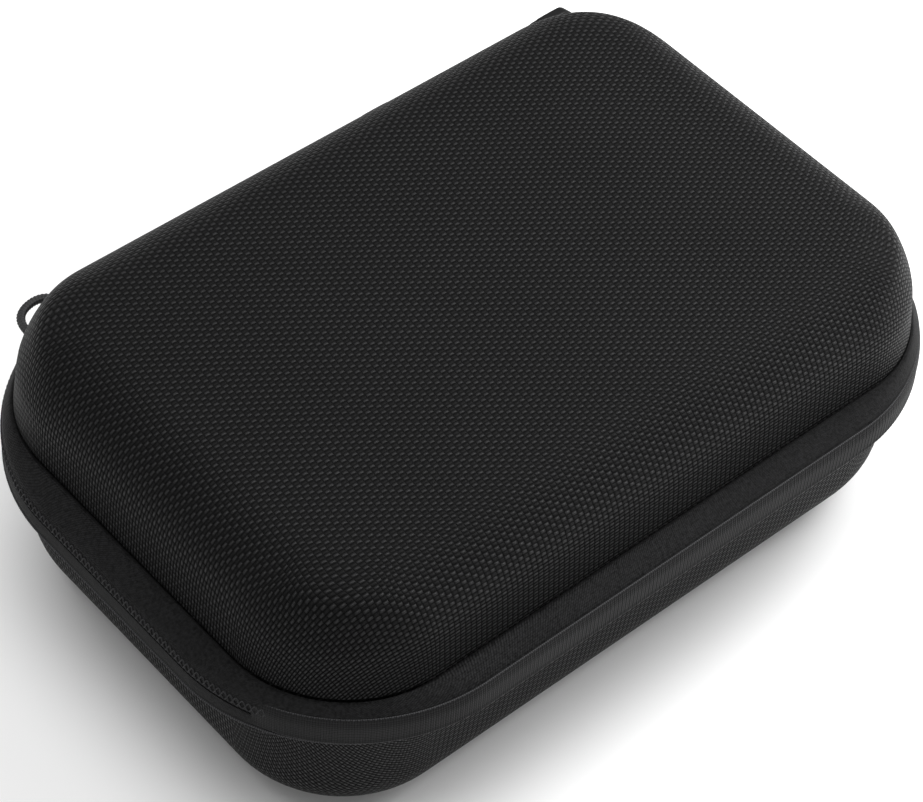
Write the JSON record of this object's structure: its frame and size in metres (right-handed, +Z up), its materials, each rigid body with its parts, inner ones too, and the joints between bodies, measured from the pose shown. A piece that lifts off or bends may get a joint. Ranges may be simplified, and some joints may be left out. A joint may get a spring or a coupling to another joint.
{
  "type": "launch monitor case",
  "caption": "Black moulded zip-round travel case: domed woven lid and base joined by a zip band and fabric hinge, foam insert and lid net pocket, sliders with tabs, corner loop.",
  "frame": {"origin": "centre of the base's flat, the face that the case stands on, midway between the straight stretches of the zip band", "axes": "+Z up; X along the long sides; +Y towards the hinge, so the case opens at -Y"},
  "size_m": [0.22, 0.1637, 0.0855],
  "materials": {
    "ballistic_weave": "coarse ballistic weave bonded to moulded foam",
    "lining": "brushed knitted lining",
    "binding": "grosgrain binding tape",
    "zip_tape": "smooth fine woven tape",
    "zip_coil": "nylon coil",
    "hinge_webbing": "ribbed woven strip",
    "foam": "closed-cell foam",
    "loop_cord": "braided cord",
    "net": "knitted net",
    "elastic": "folded elastic",
    "slider_metal": "black enamelled zinc",
    "pull_rubber": "soft moulded"
  },
  "bodies": {
    "base": {"base_shell": "ballistic_weave", "base_lining": "lining", "base_seam_binding": "binding", "base_zip_tape": "zip_tape", "base_zip_coil": "zip_coil", "hinge_webbing": "hinge_webbing", "foam_insert": "foam", "corner_loop": "loop_cord"},
    "lid": {"lid_shell": "ballistic_weave", "lid_lining": "lining", "lid_seam_binding": "binding", "lid_zip_tape": "zip_tape", "lid_zip_coil": "zip_coil", "mesh_pocket": "net", "pocket_binding": "binding", "pocket_elastic": "elastic"},
    "slider_a": {"slider_a_body": "slider_metal"},
    "slider_b": {"slider_b_body": "slider_metal"},
    "pull_a": {"pull_a_link": "slider_metal", "pull_a_tab": "pull_rubber"},
    "pull_b": {"pull_b_link": "slider_metal", "pull_b_tab": "pull_rubber"}
  },
  "joints": [
    {"name": "lid_opening", "type": "hinge", "parent": "base", "child": "lid", "pos_m": [0, 0.0775, 0.04869], "axis": [-1, 0, 0], "range_deg": [0, 180]},
    {"name": "slider_a_round_corner", "type": "hinge", "parent": "base", "child": "slider_a", "pos_m": [-0.0607, -0.02705, 0.04869], "axis": [0, 0, -1], "range_deg": [0, 70]},
    {"name": "slider_b_slide", "type": "slide", "parent": "base", "child": "slider_b", "axis": [1, 0, 0], "range_m": [0, 0.08]},
    {"name": "pull_a_swing", "type": "hinge", "parent": "slider_a", "child": "pull_a", "pos_m": [-0.07433, -0.07791, 0.04869], "axis": [0, 0, 1], "range_deg": [0, 90]},
    {"name": "pull_b_swing", "type": "hinge", "parent": "slider_b", "child": "pull_b", "pos_m": [-0.0607, -0.0797, 0.04869], "axis": [0, 0, -1], "range_deg": [0, 90]}
  ]
}
